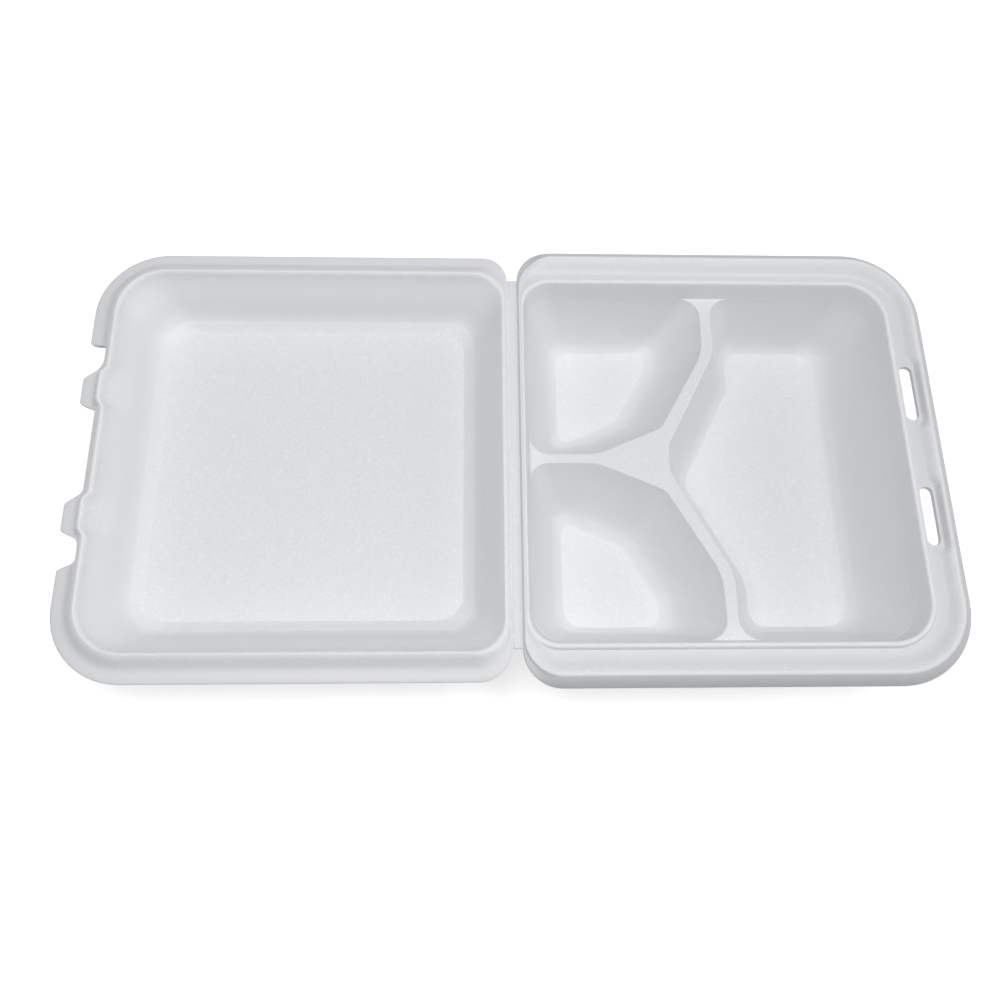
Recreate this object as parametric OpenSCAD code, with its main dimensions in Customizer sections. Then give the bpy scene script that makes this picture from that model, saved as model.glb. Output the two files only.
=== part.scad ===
// Hinged food container of foam sheet, lying open: three compartments in the base, a shallow lid,
// and between them a strip with a crease on each side. Millimetres, +Z up, the table at z = 0.
// The origin is under the middle of the strip. The base lies along +X and the lid along -X.

/* [Overall] */
// Reach of each half, from the middle of the strip to its front edge
half_reach = 203; // [190:1:220]
// Width of the base over its rim
base_w = 216; // [204:1:232]
// Height of the base, from the table to the crest of its rim
base_h = 50; // [44:1:60]
// Thickness of the foam sheet
sheet_t = 2.2; // [1.8:0.1:2.6]
// Air between pieces that seat on each other
clearance = 0.3; // [0.2:0.05:0.4]

/* [Rim of the base] */
// Width of the outer flange, from the crest to the edge
flange_w = 5.5; // [4:0.5:6.5]
// Drop of the outer flange, from the crest to the edge
flange_drop = 5.2; // [4:0.2:7]
// Depth of the ledge under the crest, where the rim of the lid seats
ledge_depth = 4; // [3.4:0.2:5]
// Width of the flat bottom of the ledge at the sides
side_flat = 2.6; // [2:0.2:4]
// Width of the flat bottom of the ledge at the front
front_flat = 4.6; // [4:0.2:5]
// Width of the bead round the mouth
bead_w = 2.3; // [1.8:0.1:2.8]
// Height of the bead over the ledge
bead_h = 2.2; // [1.6:0.1:2.6]
// Distance from the edge of the flange to the mouth
mouth_in = 19; // [18.5:0.5:21]
// Radius of the front corners at the edge of the flange
front_r = 36; // [33:1:40]
// Radius of the corners next to the hinge at the edge of the flange
hinge_r = 17; // [16:1:20]

/* [Compartments] */
// Depth of the tops of the dividers under the crest
divider_drop = 12; // [9:1:16]
// Width of the divider's top between the two small compartments
middle_arm_w = 5; // [4.8:0.2:8]
// Distance from the hinge at which that divider begins to widen
middle_arm_len = 40; // [34:1:46]
// Place of the small compartments' inner corners, from the hinge
fork_x = 71.4; // [68:0.5:74]
// Half the width of the platform at those corners
fork_half_w = 16.2; // [14:0.5:19]
// Place of the large compartment's blunt nose, from the hinge
nose_x = 74.4; // [74:0.5:80]
// Half the width of that nose
nose_half_w = 6.5; // [5:0.5:8]
// Width of the tops of the two side dividers
side_arm_w = 5.4; // [5:0.2:7]
// Place of the bend in the side dividers, from the hinge
bend_x = 97.5; // [92:0.5:104]
// Distance of that bend from the middle
bend_y = 56.5; // [50:0.5:62]
// Run of the outer walls from the tops of the dividers to the floor, at the sides
side_run = 12.4; // [9:0.2:16]
// The same run at the front
front_run = 16.9; // [12:0.2:20]
// The same run at the hinge
hinge_run = 17.2; // [13:0.2:20]
// Run of the small compartments' walls down from the dividers
small_run = 23; // [18:0.5:26]
// Run of the large compartment's walls down from the dividers
large_run = 16; // [12:0.5:20]

/* [Lid] */
// Height of the panel over the table while the lid lies open
lid_lift = 20; // [14:1:26]
// Distance of the crest of the lid's rim from the front edge
lid_crest_in = 13; // [12.8:0.1:13.6]
// Distance of the crest of the lid's rim from the edge of the base, at the sides
lid_crest_side = 14.8; // [14.6:0.1:15.2]
// Width of the lid's flange outside the crest
lid_flange_w = 12; // [10.5:0.5:12.5]
// Drop of the lid's flange from the crest to the edge
lid_flange_drop = 5.7; // [5.4:0.1:7]
// Distance from the crest to the edge of the recessed panel
panel_in = 19; // [17:0.5:24]
// Depth of the panel's recess
panel_drop = 2.4; // [1.4:0.2:3]
// Width of the bevel round the panel
bevel_w = 4; // [3:0.5:6]
// Radius of the lid's front corners at the crest
lid_front_r = 22; // [21:0.5:24]

/* [Locking tabs] */
// Distance of each tab and slot from the middle
tab_y = 31; // [28:0.5:34]
// Length of a tab's straight edge
tab_len = 11; // [8:0.5:14]
// Length of a tab at its root
tab_root = 22; // [20:0.5:24]
// Outward bulge of the crest at a tab
tab_bulge = 2; // [1.6:0.1:2.2]
// Rise of the crest at a tab, which drops into the slot
tab_rise = 1.5; // [0.8:0.1:1.8]
// Distance of the trimmed edge from the crest, between the tabs
trim_w = 4; // [3:0.2:6]
// Distance of the notched edge from the crest, outside each tab
notch_w = 2.6; // [2.4:0.1:3.4]
// Length of each notch along the edge
notch_len = 8; // [6:0.5:10]
// Length of a slot in the base
slot_len = 28; // [27:0.5:30]
// Width of a slot
slot_w = 6; // [5.6:0.1:6.4]
// Distance from the crest of a tab's rim to the outer edge of its slot
slot_gap = 1; // [0.8:0.1:1.2]

/* [Hinge] */
// Distance between the two creases
crease_gap = 4.5; // [4.3:0.1:5]
// Gap of a crease
crease_clear = 0.3; // [0.2:0.05:0.3]
// Thickness of the strip
strip_t = 2; // [1.6:0.1:2.2]
// Rise of the strip's inner face over its creases
strip_rise = 0.7; // [0.4:0.1:0.8]

/* [Hidden] */

// Steps in a corner of the rims, and in a corner of a compartment
CORNER_STEPS = 9;
POCKET_STEPS = 6;

// Places that the two halves and the strip share
half_w = base_w / 2;
flat_drop = 2;                                   // the rims lie this much lower next to the hinge
rim_z = base_h - flat_drop;
axis_x = crease_gap / 2;                         // creases, in the base's half and in the lid's
axis_z = rim_z - crease_gap / 2 + clearance / 2; // this height lets the two rims close flat
edge_x = axis_x + crease_clear / 2;              // edge of a half at its crease
side_x = axis_x + strip_rise + clearance;        // upright side of the flat rims
mouth_x = side_x + sheet_t;                      // mouth next to the hinge
lip_z = axis_z + strip_rise - strip_t;           // underside of the strip and the lips at the creases
strip_half = half_w - hinge_r;
round_in = 0.6;                                  // rounds the edges of the sheet

function mix(a, b, t) = a + (b - a) * t;
function ease(t) = let (c = min(1, max(0, t))) c * c * (3 - 2 * c);
function unit(v) = v / norm(v);
function mirrored(list) = concat([for (i = [len(list) - 1 : -1 : 0]) -list[i]], list);

// Share of the flat zone next to the hinge in a point's height, from 0 to 1
FLAT_FROM = 19;
FLAT_TO = 6;
function flat_share(x) = ease((FLAT_FROM - x) / (FLAT_FROM - FLAT_TO));

// Share of a tab or slot in a point of the front edge, from 0 to 1
function zone_share(y, half, blend) = ease((half + blend / 2 - abs(abs(y) - tab_y)) / blend);

// Points of a quarter circle round [x, y]
function corner(x, y, r, from) =
    [for (i = [0 : CORNER_STEPS]) let (a = from + 90 * i / CORNER_STEPS) [x + r * cos(a), y + r * sin(a)]];

// One level of a half: its front edge through given points, then its four corners in turn
function outline(front, xf, xh, hy, rf, rh) = concat(
    front,
    corner(xf - rf, hy - rf, rf, 0),
    corner(xh + rh, hy - rh, rh, 90),
    corner(xh + rh, rh - hy, rh, 180),
    corner(xf - rf, rf - hy, rf, 270));

// A closed skin over levels of equally many points. The first level's face looks up, the last one's down.
module skin(levels) {
    n = len(levels[0]);
    last = (len(levels) - 1) * n;
    sides = [for (k = [0 : n : last - n], i = [0 : n - 1])
        let (j = (i + 1) % n) [k + i, k + j, k + n + j, k + n + i]];
    ends = [[for (i = [n - 1 : -1 : 0]) i], [for (i = [0 : n - 1]) last + i]];
    polyhedron([for (level = levels, p = level) p], concat(sides, ends), convexity = 8);
}

// Base: rim and upper wall
ledge_z = base_h - ledge_depth;
deck_z = base_h - divider_drop;
wall_slope = 0.24;                               // run of the walls for each unit of depth
deck_run = (rim_z - deck_z) * wall_slope;        // run of the wall from the mouth to the dividers
wall_t = sheet_t * norm([1, wall_slope]);        // sheet measured across a sloping wall
bead_out = mouth_in - bead_w;
flat_in = bead_out - round_in;                   // inner edge of the ledge's flat bottom
tab_crest_x = half_reach - lid_crest_in + tab_bulge;
crest_half = 1.2;                                // half the width of the lid's crest
slot_out = tab_crest_x + crest_half + slot_gap;
pad_extra = slot_out + 1 - (half_reach - flat_in + front_flat);
pad_half = slot_len / 2 + 3;
pad_blend = 6;
base_front_y = mirrored([for (o = [-1, 1], i = [-1.5 : 1.5]) tab_y + o * pad_half + i / 3 * pad_blend]);

// Rows of [distance in from the edge at the sides, the same at the front, x next to the hinge, z,
// z next to the hinge, share of the pads round the slots], from the dividers' tops over the rim
base_top = [
    [mouth_in + deck_run, mouth_in + deck_run, mouth_x + deck_run, deck_z, deck_z, 0],
    [mouth_in + 0.3, mouth_in + 0.3, mouth_x + 0.3, rim_z - 1.2, rim_z - 1.2, 0],
    [mouth_in, mouth_in, mouth_x, rim_z - 0.4, rim_z - 0.4, 0],
    [mouth_in - round_in, mouth_in - round_in, mouth_x - 0.3, ledge_z + bead_h, rim_z, 0],
    [bead_out + round_in, bead_out + round_in, mouth_x - 0.7, ledge_z + bead_h, rim_z, 0],
    [bead_out, bead_out, mouth_x - 0.9, ledge_z + bead_h - round_in, rim_z, 0],
    [flat_in, flat_in, mouth_x - 1.1, ledge_z, rim_z, 0],
    [flat_in - side_flat, flat_in - front_flat, mouth_x - 1.4, ledge_z, rim_z, 1],
    [flange_w + 1.4, flange_w + 1.4, mouth_x - 1.7, base_h - 0.3, rim_z, 0.16],
    [flange_w, flange_w, side_x, base_h, rim_z - 0.2, 0],
    [flange_w - 1.1, flange_w - 1.1, side_x, base_h - 0.4, axis_z + side_x - edge_x, 0],
    [0.3, 0.3, edge_x, base_h - flange_drop + round_in, axis_z, 0],
    [0, 0, edge_x, base_h - flange_drop - 0.2, axis_z - 0.3, 0]];
base_under = [
    [0.6, 0.6, edge_x, base_h - flange_drop - 1.6, lip_z, 0],
    [flange_w - 0.4, flange_w - 0.4, edge_x + 0.5, base_h - sheet_t - 0.6, lip_z - 0.1, 0],
    [flange_w + 1.8, flange_w + 1.8, edge_x + 0.9, base_h - sheet_t - 0.5, lip_z - 0.2, 0.16],
    [flat_in - side_flat + 0.7, flat_in - front_flat + 0.7, edge_x + 1.3, ledge_z - sheet_t, lip_z - 0.3, 1],
    [mouth_in - wall_t + 0.5, mouth_in - wall_t + 0.5, mouth_x - wall_t + 0.8,
        ledge_z - sheet_t - 0.3, lip_z - 0.5, 0],
    [mouth_in + deck_run - wall_t, mouth_in + deck_run - wall_t, mouth_x + deck_run - wall_t,
        deck_z - sheet_t, deck_z - sheet_t, 0]];

function base_level(row) = let (
    xf = half_reach - row[1],
    front = [for (y = base_front_y) [xf + row[5] * pad_extra * zone_share(y, pad_half, pad_blend), y]])
    [for (p = outline(front, xf, row[2], half_w - row[0], front_r - 0.9 * row[0], hinge_r - 0.2 * row[0]))
        [p.x, p.y, mix(row[3], row[4], flat_share(p.x))]];

// Base: outlines of the compartments, anticlockwise
function shifted(a, b, d) = let (u = unit(b - a), n = [-u.y, u.x] * d) [a + n, b + n];
function meet(l, m) = let (
    p = l[1] - l[0],
    q = m[1] - m[0],
    w = m[0] - l[0])
    l[0] + p * (w.x * q.y - w.y * q.x) / (p.x * q.y - p.y * q.x);

// Each side moved inward by its own distance
function inset(points, runs) = let (n = len(points))
    [for (i = [0 : n - 1]) let (h = (i + n - 1) % n, j = (i + 1) % n)
        meet(shifted(points[h], points[i], runs[h]), shifted(points[i], points[j], runs[i]))];

// Arc that rounds a corner, whichever way it turns
function rounded(h, p, j, r) = let (
    u = unit(h - p),
    v = unit(j - p),
    half = acos(u * v) / 2,
    c = p + unit(u + v) * r / sin(half),
    a = unit(p + u * r / tan(half) - c),
    b = unit(p + v * r / tan(half) - c),
    turn = acos(a * b))
    [for (i = [0 : POCKET_STEPS]) let (s = turn * i / POCKET_STEPS)
        c + r * (a * sin(turn - s) + b * sin(s)) / sin(turn)];
function turns_out(h, p, j) = sign((p - h).x * (j - p).y - (p - h).y * (j - p).x);
function rounded_outline(points, radii, grow, z) = let (n = len(points))
    [for (i = [0 : n - 1]) let (h = points[(i + n - 1) % n], p = points[i], j = points[(i + 1) % n])
        for (q = rounded(h, p, j, radii[i] + grow * turns_out(h, p, j))) [q.x, q.y, z]];

// Where the compartments' outlines run along the bowl's wall, they keep a hair inside it
seam = 0.15;
wall_y = half_w - mouth_in - deck_run - seam;
wall_front = half_reach - mouth_in - deck_run - seam;
wall_hinge = mouth_x + deck_run + seam;
bend_half = side_arm_w / 2 * 1.15;
bowl_front_r = front_r - 0.9 * (mouth_in + deck_run);
bowl_hinge_r = hinge_r - 0.2 * (mouth_in + deck_run);

// Each compartment is [top points, floor points, top radii, floor radii, which sides are dividers]
small_top = [
    [wall_hinge, middle_arm_w / 2],
    [middle_arm_len, middle_arm_w / 2],
    [fork_x, fork_half_w],
    [bend_x - bend_half, bend_y],
    [bend_x - side_arm_w / 2, wall_y],
    [wall_hinge, wall_y]];
small_slant = [small_top[1], small_top[2]];
small_lines = [
    meet([small_top[5], small_top[0]], small_slant), small_top[2], small_top[3], small_top[4], small_top[5]];
small_corners = inset(small_lines, [small_run, small_run, small_run, side_run, hinge_run]);
slant_normal = let (u = unit(small_slant[1] - small_slant[0])) [u.y, -u.x];
small_floor = [
    small_corners[0],
    mix(small_corners[0], small_corners[1], 0.5) + slant_normal * 0.5,
    small_corners[1], small_corners[2], small_corners[3], small_corners[4]];
small = [small_top, small_floor,
    [9, 24, 8, 26, 10, bowl_hinge_r + 0.2], [5, 30, 9, 20, 6, 9], [1, 1, 1, 1, 0, 0]];

large_side = [
    [bend_x + side_arm_w / 2, wall_y], [bend_x + bend_half, bend_y], [nose_x, nose_half_w]];
large_top = concat(
    [[wall_front, -wall_y], [wall_front, wall_y]],
    large_side,
    [for (i = [2 : -1 : 0]) [large_side[i].x, -large_side[i].y]]);
large = [large_top,
    inset(large_top, [front_run, side_run, large_run, large_run, large_run, large_run, large_run, side_run]),
    [bowl_front_r + 0.2, bowl_front_r + 0.2, 10, 26, 9, 9, 26, 10],
    [11, 11, 8, 28, 7, 7, 28, 8], [0, 0, 1, 1, 1, 1, 1, 0]];

// Shares of the run that the wall and the fillet at its foot take, and their heights over the floor
FOOT = [[0.6, 6], [0.74, 3], [0.87, 1], [1, 0]];
flare = 0.9;                                     // rounds the dividers' upper edges

function pocket_level(p, share, grow, z) = let (
    grown = [for (q = p[0]) -grow],
    top = inset(p[0], grown),
    floor = inset(p[1], grown))
    rounded_outline([for (i = [0 : len(top) - 1]) mix(top[i], floor[i], share)],
        [for (i = [0 : len(top) - 1]) mix(p[2][i], p[3][i], share)], grow, z);

module pocket_space(p) {
    open = [inset(p[0], -flare * p[4]), p[1], p[2], p[3]];
    skin(concat(
        [pocket_level(open, 0, 0, deck_z + 0.2), pocket_level(p, 0, 0, deck_z - flare)],
        [for (f = FOOT) pocket_level(p, f[0], 0, sheet_t + f[1])]));
}

module pocket_body(p) {
    skin(concat(
        [pocket_level(p, 0, wall_t, deck_z - flare)],
        [for (f = FOOT) pocket_level(p, f[0], wall_t, f[1])]));
}

module slot(y) {
    x = slot_out - slot_w / 2;
    run = slot_len - slot_w;
    depth = sheet_t + 8;
    translate([x, y, ledge_z]) {
        cube([slot_w, run, depth], center = true);
        for (s = [-1, 1])
            translate([0, s * run / 2, 0])
                cylinder(h = depth, d = slot_w, center = true, $fn = 32);
    }
}

// resize() with no sizes leaves a form as it is and settles it as one mesh
module base() {
    color("whitesmoke")
        resize([0, 0, 0])
        difference() {
            union() {
                skin([for (row = concat(base_top, base_under)) base_level(row)]);
                pocket_body(large);
                pocket_body(small);
                mirror([0, 1, 0]) pocket_body(small);
            }
            pocket_space(large);
            pocket_space(small);
            mirror([0, 1, 0]) pocket_space(small);
            for (s = [-1, 1])
                slot(s * tab_y);
        }
}

// Lid, worked out along +X and mirrored
lid_x = half_reach - lid_crest_in;
lid_y = half_w - lid_crest_side;
panel_z = lid_lift + sheet_t;
wall_foot = bevel_w + 1.4;                       // from the panel's edge to the foot of the wall
wall_foot_z = panel_z + panel_drop + 1;
wall_mid_z = mix(wall_foot_z, rim_z, 0.5);
flange_mid = lid_flange_w * 0.52;
flange_mid_drop = lid_flange_drop * 0.72;
tab_half = tab_root / 2;
tab_blend = 5;
notch_ramp = 3;                                  // from the root of a tab to its notch
notch_start = tab_half + notch_ramp;
notch_end = notch_start + notch_len;
corner_ramp = 2;                                 // from a notch to the flange of the corner
lid_hinge_r = lid_y + lid_flange_w - strip_half; // its straight edge is as long as the strip

lid_front_y = mirrored(concat(
    [tab_y - notch_start],
    [for (i = [4 : -1 : 0]) tab_y - mix(tab_len / 2, tab_half, i / 4)],
    [tab_y],
    [for (i = [0 : 4]) tab_y + mix(tab_len / 2, tab_half, i / 4)],
    [tab_y + notch_start],
    [for (i = [0 : 4]) tab_y + notch_end + i / 4 * corner_ramp]));

function tab_share(y) = zone_share(y, tab_half - tab_blend / 2, tab_blend);

// Distance of the flange's edge from the crest line, along the front
function edge_out(y) = lookup(abs(y) - tab_y, [
    [-tab_half, trim_w], [-tab_len / 2, lid_crest_in], [tab_len / 2, lid_crest_in], [tab_half, trim_w],
    [notch_start, notch_w], [notch_end, notch_w], [notch_end + corner_ramp, lid_flange_w]]);

// Drop of the flange under the crest, by the distance out from the crest line
function flange_fall(d) = lookup(d, [
    [crest_half, 0.4], [flange_mid, flange_mid_drop], [lid_flange_w, lid_flange_drop]]);

// Rows of [distance out from the crest line, x next to the hinge, z, z next to the hinge, share of a
// tab's bulge, share of its rise, kind], from the panel over the rim and back under it
WALL = 0;  // follows the crest line
MID = 1;   // halfway out on the flange, drawn in where the flange is trimmed
EDGE = 2;  // edge of the flange
hinge_panel = mouth_x + panel_in - 0.6;
lid_top = [
    [-panel_in, hinge_panel, panel_z, panel_z, 0, 0, WALL],
    [bevel_w - panel_in, hinge_panel - bevel_w, panel_z + panel_drop, panel_z + panel_drop, 0, 0, WALL],
    [wall_foot - panel_in, hinge_panel - wall_foot, wall_foot_z, wall_foot_z, 0, 0, WALL],
    [(wall_foot - panel_in) / 2 - 1, mouth_x + (panel_in - wall_foot) / 2,
        wall_mid_z, wall_mid_z, 0.2, 0, WALL],
    [-2, mouth_x + 1.2, rim_z - 1.6, rim_z - 2, 0.85, 0.2, WALL],
    [-1, mouth_x, base_h - 1, rim_z - 0.4, 1, 0.8, WALL],
    [0, mouth_x - 0.5, base_h, rim_z, 1, 1, WALL],
    [crest_half, side_x, base_h - 0.4, rim_z, 1, 1, WALL],
    [flange_mid, side_x, base_h - flange_mid_drop, axis_z + side_x - edge_x, 0, 0, MID],
    [lid_flange_w, edge_x, base_h - lid_flange_drop, axis_z, 0, 0, EDGE]];
lid_under = [
    [lid_flange_w - 0.4, edge_x, base_h - lid_flange_drop - sheet_t + 0.2, lip_z, 0, 0, EDGE],
    [flange_mid - 0.4, edge_x + 1.3, base_h - flange_mid_drop - sheet_t - 0.3, lip_z - 0.2, 0, 0, MID],
    [crest_half, edge_x + 2, base_h - sheet_t - 0.8, lip_z - 0.4, 1, 1, WALL],
    [-0.2, mouth_x - 0.3, rim_z - 2.7, lip_z - 0.7, 0.85, 0.2, WALL],
    [(wall_foot - panel_in) / 2 + 0.9, mouth_x + (panel_in - wall_foot) / 2 - 1.9,
        wall_mid_z - 1.1, wall_mid_z - 1.1, 0.2, 0, WALL],
    [wall_foot - panel_in + 1.4, hinge_panel - wall_foot - 1.4,
        wall_foot_z - 1.6, wall_foot_z - 1.6, 0, 0, WALL],
    [bevel_w - panel_in + 0.7, hinge_panel - bevel_w - 0.7,
        lid_lift + panel_drop, lid_lift + panel_drop, 0, 0, WALL],
    [0.6 - panel_in, hinge_panel - 0.6, lid_lift, lid_lift, 0, 0, WALL]];

function lid_front(row, y) = let (
    crest_out = crest_half + tab_bulge * tab_share(y),
    d = row[6] == WALL ? row[0] + row[4] * tab_bulge * tab_share(y)
        : row[6] == MID ? min(row[0], mix(crest_out, edge_out(y), 0.5))
        : edge_out(y) + row[0] - lid_flange_w)
    [lid_x + d, y, row[6] == WALL ? row[2] + row[5] * tab_rise * tab_share(y)
        : row[2] + flange_fall(row[0]) - flange_fall(d)];

function lid_level(row) = let (
    d = row[0],
    hy = lid_y + d,
    rf = lid_front_r + d * (d > 0 ? 0.95 : 0.45),
    rh = min(lid_hinge_r, 14 + 0.1 * d),
    front = [for (y = lid_front_y) lid_front(row, y)],
    around = outline([], lid_x + d, row[1], hy, rf, rh))
    concat(front, [for (p = around) [p.x, p.y, mix(row[2], row[3], flat_share(p.x))]]);

module lid() {
    color("white")
        resize([0, 0, 0])
        mirror([1, 0, 0])
            skin([for (row = concat(lid_top, lid_under)) lid_level(row)]);
}

// The strip, with the inner half of each end bevelled so that the creases can close
module hinge_strip() {
    end_x = axis_x - crease_clear / 2;
    color("snow")
        rotate([90, 0, 0])
            linear_extrude(2 * strip_half, center = true)
                polygon([
                    [-end_x, lip_z], [end_x, lip_z], [end_x, axis_z],
                    [end_x - strip_rise, axis_z + strip_rise],
                    [strip_rise - end_x, axis_z + strip_rise],
                    [-end_x, axis_z]]);
}

base();
hinge_strip();
lid();
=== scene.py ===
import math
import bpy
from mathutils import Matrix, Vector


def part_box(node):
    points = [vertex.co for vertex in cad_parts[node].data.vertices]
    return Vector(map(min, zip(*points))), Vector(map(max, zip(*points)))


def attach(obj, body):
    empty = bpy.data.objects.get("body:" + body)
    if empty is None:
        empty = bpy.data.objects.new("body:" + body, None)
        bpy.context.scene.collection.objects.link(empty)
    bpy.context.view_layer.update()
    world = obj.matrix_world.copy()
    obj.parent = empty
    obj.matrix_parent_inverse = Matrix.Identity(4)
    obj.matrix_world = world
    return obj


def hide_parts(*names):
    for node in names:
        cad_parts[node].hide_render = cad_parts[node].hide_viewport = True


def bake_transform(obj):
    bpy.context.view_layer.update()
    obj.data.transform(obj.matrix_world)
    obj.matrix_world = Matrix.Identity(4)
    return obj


bl_info = {
    "name": "Foam Hinged Lid Container",
    "version": (1, 0, 0),
    "blender": (4, 5, 0),
    "location": "3D View > Sidebar > Container",
    "description": "Makes an open food container of white foam sheet, with compartments and a hinged lid",
    "category": "Add Mesh",
}

from types import SimpleNamespace

import bmesh
import bpy
import numpy as np
from bpy.props import FloatProperty, FloatVectorProperty, PointerProperty
from mathutils import Matrix, Vector

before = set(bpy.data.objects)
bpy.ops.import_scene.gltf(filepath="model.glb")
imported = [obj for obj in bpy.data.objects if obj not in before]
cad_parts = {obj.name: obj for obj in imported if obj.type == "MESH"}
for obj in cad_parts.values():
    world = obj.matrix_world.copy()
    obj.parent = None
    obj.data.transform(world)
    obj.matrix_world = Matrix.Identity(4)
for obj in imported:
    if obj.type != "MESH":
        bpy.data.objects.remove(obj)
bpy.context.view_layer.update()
BASE_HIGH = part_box("base")[1]
LID_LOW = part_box("lid")[0]

# Sizes are kept in metres, and the sheet is shaped in millimetres
MM = 0.001

# Steps in the rounded corners
FRONT_CORNER_STEPS = 22
HINGE_CORNER_STEPS = 18
CELL_CORNER_STEPS = 14

# The longest stretch between two rings of the sheet, and the most steps that one pair of given rings gets
FINE_STEP = 0.42
MOST_STEPS = 9

# Edges that turn by more than this stay sharp, and larger faces count for more in the shading
SHARP_ANGLE = math.radians(50)
EVEN_SHADING = 80


def number(name, description, default, low, high, unit="NONE", **more):
    """A number that can be changed in the panel."""
    more.update(name=name, description=description, default=default, min=low, max=high, unit=unit)
    return FloatProperty(**more)


def length(name, description, default, low, high):
    """A size in metres, given in millimetres."""
    return number(name, description, default * MM, low * MM, high * MM, "LENGTH", precision=5)


def colour(name, description, default):
    """A colour that can be changed in the panel."""
    return FloatVectorProperty(
        name=name, description=description, default=default, min=0, max=1, subtype="COLOR"
    )


def degrees(name, description, default):
    """An angle, given in degrees."""
    return FloatProperty(name=name, description=description, default=math.radians(default), unit="ROTATION")


class RimSizes(bpy.types.PropertyGroup):
    reach: length("Reach", "From the middle of the hinge to the front edge", BASE_HIGH.x / MM, 150, 260)
    half_width: length("Half width", "Half the width of the base over its rim", BASE_HIGH.y / MM, 80, 140)
    height: length("Height", "Height of the rim's crest over the table", BASE_HIGH.z / MM, 30, 80)
    sheet: length("Sheet", "Thickness of the foam sheet", 2.2, 1.0, 4.0)
    clearance: length("Clearance", "Air between pieces that seat on each other", 0.3, 0.1, 0.6)
    flange_width: length("Flange width", "From the crest to the outer edge", 5.5, 3.0, 9.0)
    flange_drop: length("Flange drop", "From the crest down to the outer edge", 5.2, 3.0, 9.0)
    ledge_depth: length("Ledge depth", "From the crest down to the ledge", 4.0, 2.0, 6.0)
    side_flat: length("Ledge at the sides", "Width of the ledge's flat bottom at the sides", 2.6, 1.0, 6.0)
    front_flat: length("Ledge at the front", "Width of the ledge's flat bottom at the front", 4.6, 2.0, 6.0)
    bead_width: length("Bead width", "Width of the bead round the mouth", 2.3, 1.0, 4.0)
    bead_height: length("Bead height", "Height of the bead over the ledge", 2.2, 1.0, 4.0)
    mouth_in: length("Mouth", "From the outer edge in to the mouth", 19.0, 16.0, 24.0)
    front_radius: length("Front corners", "Radius of the front corners at the edge", 36.0, 28.0, 44.0)
    hinge_radius: length("Hinge corners", "Radius of the corners next to the hinge", 17.0, 12.0, 22.0)
    flat_drop: length("Flat rim drop", "How much lower the rim lies next to the hinge", 2.0, 1.0, 3.0)
    edge_round: length("Edge round", "Rounding of the sheet's edges", 0.6, 0.2, 1.0)


class CompartmentSizes(bpy.types.PropertyGroup):
    divider_drop: length("Divider drop", "From the crest down to the tops of the dividers", 12.0, 8.0, 20.0)
    middle_arm_width: length("Middle divider", "Width between the small compartments", 5.0, 4.0, 9.0)
    middle_arm_length: length("Middle divider length", "Where it begins to widen", 40.0, 30.0, 50.0)
    fork_x: length("Fork", "Place of the small compartments' inner corners", 71.4, 60.0, 80.0)
    fork_half: length("Fork half width", "Half the width of the platform there", 16.2, 12.0, 20.0)
    nose_x: length("Nose", "Place of the large compartment's blunt nose", 74.4, 72.0, 84.0)
    nose_half: length("Nose half width", "Half the width of that nose", 6.5, 4.0, 9.0)
    side_arm_width: length("Side dividers", "Width of the tops of the two side dividers", 5.4, 4.0, 9.0)
    bend_x: length("Bend", "Place of the bend in the side dividers", 97.5, 88.0, 108.0)
    bend_y: length("Bend from the middle", "Distance of that bend from the middle", 56.5, 48.0, 64.0)
    side_run: length("Side wall run", "Run of the outer walls at the sides", 12.4, 8.0, 18.0)
    front_run: length("Front wall run", "Run of the outer wall at the front", 16.9, 10.0, 22.0)
    hinge_run: length("Hinge wall run", "Run of the outer wall next to the hinge", 17.2, 12.0, 22.0)
    small_run: length("Small compartment run", "Run of its walls down from the dividers", 23.0, 16.0, 28.0)
    large_run: length("Large compartment run", "Run of its walls down from the dividers", 16.0, 10.0, 22.0)
    divider_round: length("Divider edge round", "Rounding of the dividers' upper edges", 0.9, 0.4, 1.4)


class LidSizes(bpy.types.PropertyGroup):
    lid_lift: length("Lid lift", "Height of the open lid's panel over the table", LID_LOW.z / MM, 10, 30)
    lid_crest_in: length("Crest at the front", "From the front edge in to the lid's crest", 13.0, 12.0, 14.0)
    lid_crest_side: length("Crest at the sides", "From the base's edge in to the crest", 14.8, 14.0, 16.0)
    lid_flange_width: length("Lid flange", "Width of the flange outside the crest", 12.0, 10.0, 13.0)
    lid_flange_drop: length("Lid flange drop", "From the crest down to the flange's edge", 5.9, 5.0, 7.5)
    panel_in: length("Panel", "From the crest in to the recessed panel", 19.0, 16.0, 26.0)
    panel_drop: length("Panel drop", "Depth of the panel's recess", 2.4, 1.0, 4.0)
    bevel_width: length("Bevel", "Width of the bevel round the panel", 4.0, 2.0, 7.0)
    lid_front_radius: length("Lid front corners", "Radius of the corners at the crest", 22.0, 18.0, 26.0)


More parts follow.
